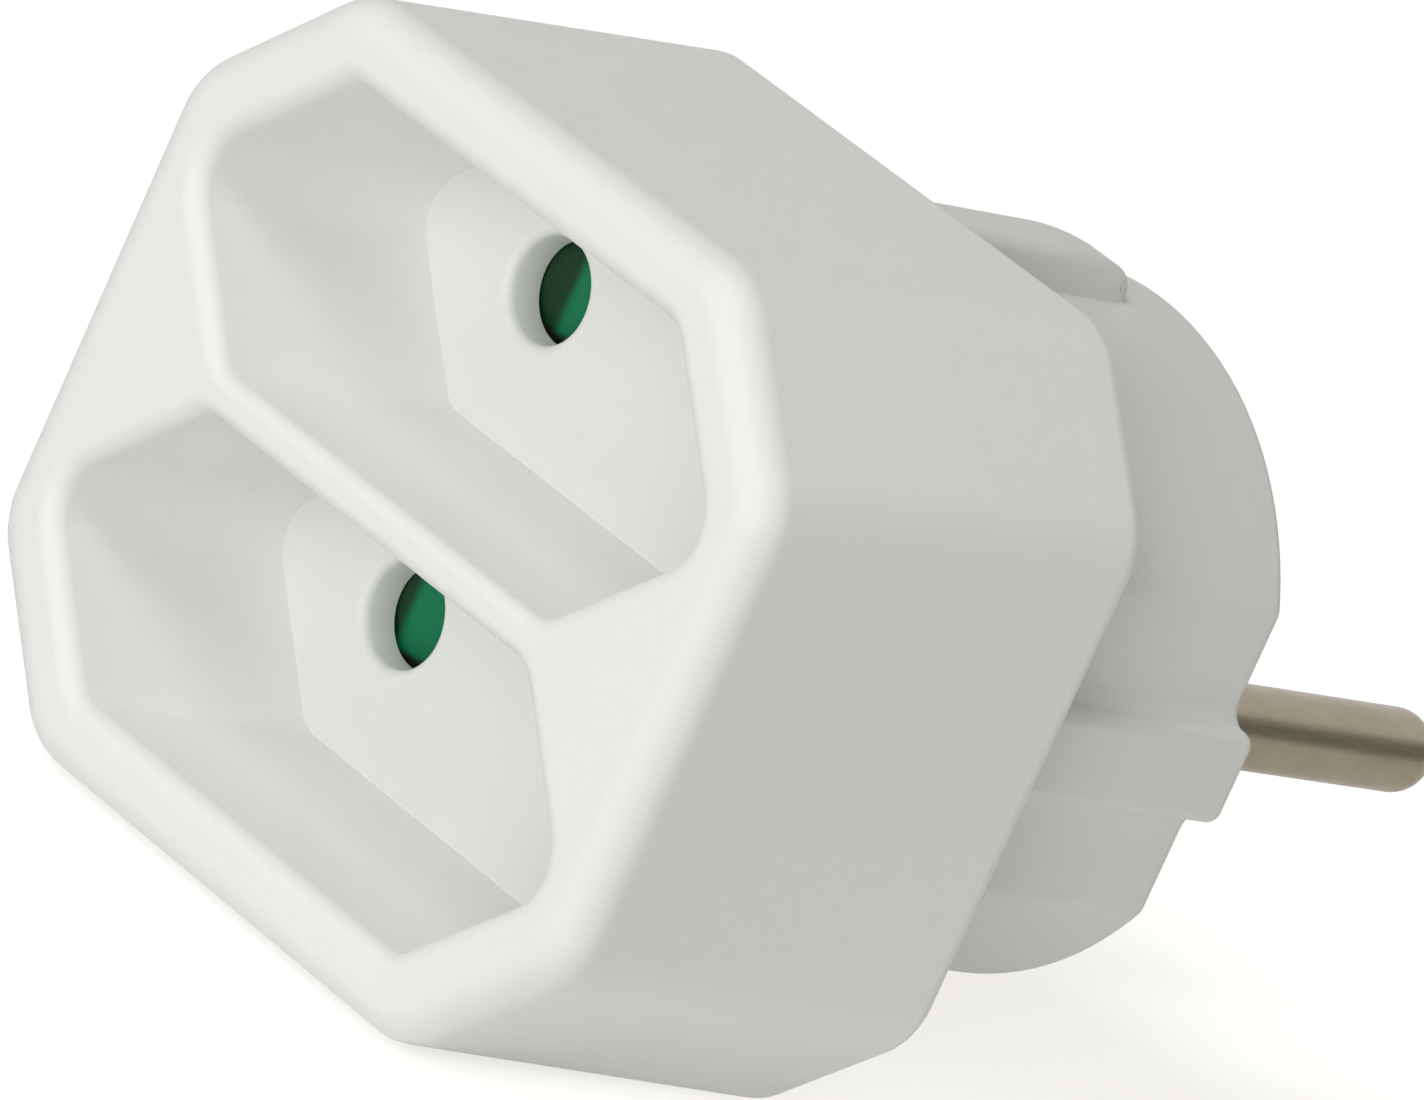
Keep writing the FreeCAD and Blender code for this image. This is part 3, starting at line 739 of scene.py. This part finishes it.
def shutter_green():
    """Green moulded plastic, with a painted shadow of the hole wall over the left part of each hole and
    painted shade of the gap, nearly black, at each hole's bottom tip.
    """
    finish = Finish("shutter_green")
    clouds = finish.noise(*GREEN_CLOUDS)
    grains = finish.noise(*GREEN_GRAIN)
    apart = finish.add("ShaderNodeSeparateXYZ", {}, finish.place)
    height = Socket(finish, apart.out.node.outputs["Z"])
    across = apart.math("WRAP", apart, 0.0, -2 * PIN_X * MM)
    above = apart.math("WRAP", height, 2 * RECESS_Z * MM, 0.0) - RECESS_Z * MM
    # Painted shadow of the hole wall over the left part of each hole, narrower in the lower row
    across = across + apart.math("LESS_THAN", height, 0.0) * LOWER_SHADOW_SHIFT * MM
    outside_painted_shadow = finish.smooth_step(across, SHADOW_EDGE_FROM * MM, SHADOW_EDGE_TO * MM)
    # Painted shade of the gap at the bottom tip of each hole
    in_painted_gap_shade = finish.smooth_step(above, GAP_SHADE_FROM * MM, GAP_SHADE_TO * MM)
    bright = finish.blend(clouds, *GREENS)
    # Painted shadow colour blended in over the left part of each hole
    base = finish.blend(outside_painted_shadow, PAINTED_SHADOW_GREEN, bright)
    base = finish.blend(in_painted_gap_shade, base, PAINTED_GAP_SHADE)
    return finish.set(Base_Color=base, Roughness=GREEN_ROUGHNESS + (clouds - MIDDLE) * GREEN_SPREAD,
                      Normal=finish.bump(grains, GRAIN_DEPTH), Specular_IOR_Level=GREEN_SHEEN)


def metal(name, colour, shade, rough, stretch):
    """Metal with tarnish clouds and fine marks drawn out along one way."""
    finish = Finish(name)
    clouds = finish.noise(*TARNISH)
    marks = finish.noise(*TOOL_MARKS, stretch)
    base = finish.blend(clouds * TARNISH_SHARE + marks * MARK_SHARE, colour, shade)
    rough = rough + (marks - MIDDLE) * MARK_SPREAD + (clouds - MIDDLE) * TARNISH_SPREAD
    return finish.set(Base_Color=base, Metallic=1.0, Roughness=rough,
                      Normal=finish.bump(marks, MARK_DEPTH))


def dress(node, material):
    """Gives a CAD node its finish."""
    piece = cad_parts[node]
    piece.data.materials.clear()
    piece.data.materials.append(material)


# Studio

CAMERA_AT = (0.4454, -0.4991, 0.1746)
CAMERA_RIGHT = (0.59435, 0.69826, 0.39897)
CAMERA_DOWN = (0.4616, 0.11002, -0.88023)
CAMERA_AHEAD = (-0.65853, 0.70734, -0.25693)
IMAGE_WIDTH = 1424
FOCUS_PX = 15037
SENSOR = 36.0
CLIP_NEAR, CLIP_FAR = 0.01, 20

# Surroundings: light from above and from the right, and one dark spot, by its direction and cosines
WHITE = (1, 1, 1, 1)
WORLD_COLOUR = (1.0, 0.985, 0.93, 1)
WORLD_LOBES = (((0, 0, 1), 0.30), ((1, 0, 0), 0.11))
DARK_SPOT = (0.6585, 0.7073, 0.2569)
DARK_SPOT_EDGE, DARK_SPOT_CORE = 0.88, 0.99
DARK_SPOT_DEPTH = 0.75

# Floor, in metres: its glow as light, its brightness as seen, and what reflections take off that
FLOOR_SIZE = 6
FLOOR_GAP = 0.1 * MM
FLOOR_PAINT = (0.9, 0.9, 0.9, 1)
FLOOR_ROUGHNESS = 0.9
FLOOR_COLOUR = (1.0, 0.975, 0.93, 1)
FLOOR_GLOW = 0.15
GLOW_FROM, GLOW_TO = -0.06, 0.02
FLOOR_SEEN = 0.62
FLOOR_DIMMED = 0.4

# Lamps: place in metres and strength in watts
LAMP_SIZE = 0.6
LAMP_AIM = (0, -0.02, 0)
LAMPS = {
    "right": ((0.9, -1.2, 0.4), 5.7),
    "upper": ((0.0, -0.9, 1.2), 5.9),
    "left": ((-0.8, -1.2, 0.5), 0.8),
    "front": ((0.1, -1.5, 0.3), 3.2),
}


def camera():
    """Camera that was fitted to the photo."""
    data = bpy.data.cameras.new("camera")
    data.sensor_width = SENSOR
    data.lens = SENSOR * FOCUS_PX / IMAGE_WIDTH
    data.clip_start, data.clip_end = CLIP_NEAR, CLIP_FAR
    view = bpy.data.objects.new("camera", data)
    bpy.context.scene.collection.objects.link(view)
    columns = [Vector(CAMERA_RIGHT), -Vector(CAMERA_DOWN), -Vector(CAMERA_AHEAD)]
    view.matrix_world = Matrix.Translation(CAMERA_AT) @ Matrix(columns).transposed().to_4x4()
    bpy.context.scene.camera = view


def lamp(name, place, watts):
    """Soft square lamp aimed at the object."""
    data = bpy.data.lights.new(name, "AREA")
    data.energy = watts
    data.size = LAMP_SIZE
    light = bpy.data.objects.new(name, data)
    bpy.context.scene.collection.objects.link(light)
    light.location = place
    way = Vector(LAMP_AIM) - Vector(place)
    light.rotation_euler = way.to_track_quat("-Z", "Y").to_euler()


def sharp_rays(nodes):
    """1 for what the eye sees, straight or reflected, else 0, and the same for reflections alone."""
    path = nodes.add("ShaderNodeLightPath", {}, output="Is Camera Ray")
    node = path.out.node
    glossy = Socket(nodes, node.outputs["Is Glossy Ray"])
    clear = Socket(nodes, node.outputs["Is Transmission Ray"])
    return path.math("MAXIMUM", path, path.math("MAXIMUM", glossy, clear)), glossy


def surroundings():
    """White to the eye and in reflections, but for one dark spot that metal shows as a soft band."""
    world = bpy.data.worlds.new("studio")
    bpy.context.scene.world = world
    world.use_nodes = True
    world.node_tree.nodes.clear()
    sky = Nodes(world.node_tree)
    way = sky.add("ShaderNodeTexCoord", {}, output="Generated")
    dot = {"operation": "DOT_PRODUCT"}
    light = 0.0
    for axis, strength in WORLD_LOBES:
        facing = sky.add("ShaderNodeVectorMath", dot, way, axis, output="Value")
        light = facing.math("MAXIMUM", facing, 0.0) * strength + light
    sharp, glossy = sharp_rays(sky)
    facing = sky.add("ShaderNodeVectorMath", dot, way, DARK_SPOT, output="Value")
    spot = sky.smooth_step(facing, DARK_SPOT_EDGE, DARK_SPOT_CORE, DARK_SPOT_DEPTH)
    lit = sky.add("ShaderNodeBackground", {}, WORLD_COLOUR, light)
    seen = sky.add("ShaderNodeBackground", {}, WHITE, 1 - spot * glossy)
    both = sky.add("ShaderNodeMixShader", {}, sharp, lit, seen)
    out = sky.tree.nodes.new("ShaderNodeOutputWorld")
    sky.feed(out.inputs["Surface"], both)


def studio_floor():
    """Pale floor that glows softly behind the adapter, looks white and is dimmer in reflections."""
    bpy.ops.object.select_all(action="DESELECT")
    bpy.ops.mesh.primitive_plane_add(size=FLOOR_SIZE, location=(0, 0, cad_bounds[0].z - FLOOR_GAP))
    floor = bpy.context.object
    floor.name = "floor"
    white = Finish("floor_white")
    sharp, glossy = sharp_rays(white)
    apart = white.add("ShaderNodeSeparateXYZ", {}, white.place, output="Y")
    behind = white.smooth_step(apart, GLOW_FROM, GLOW_TO)
    glow = behind * FLOOR_GLOW * (1 - sharp) + (sharp - glossy * FLOOR_DIMMED) * FLOOR_SEEN
    white.set(Base_Color=FLOOR_PAINT, Roughness=FLOOR_ROUGHNESS,
              Emission_Color=FLOOR_COLOUR, Emission_Strength=glow)
    floor.data.materials.append(white.material)


def studio():
    """White surroundings, pale floor and soft lamps."""
    bpy.context.scene.view_settings.view_transform = "Standard"
    surroundings()
    studio_floor()
    for name, (place, watts) in LAMPS.items():
        lamp(name, place, watts)


def main():
    camera()
    finishes = {name: moulded(name, *values) for name, values in PLASTICS.items()}
    for name, values in METALS.items():
        finishes[name] = metal(name, *values)
    green = shutter_green()
    front_housing().data.materials.append(finishes["housing_white"])
    plug_base().data.materials.append(finishes["base_white"])
    for name, side in (("left", -1), ("right", 1)):
        plug_pin(name, side).data.materials.append(finishes["pin_nickel"])
        dress("contact_strip_" + name, finishes["contact_brass"])
    dress("shutter_carrier", finishes["carrier_white"])
    dress("housing_screw", finishes["screw_zinc"])
    for name, row in (("upper", 1), ("lower", -1)):
        return_spring(name, row).data.materials.append(finishes["spring_steel"])
        dress("shutter_" + name, green)
        for side in ("left", "right"):
            dress("contact_clip_%s_%s" % (name, side), finishes["contact_brass"])
    studio()


main()
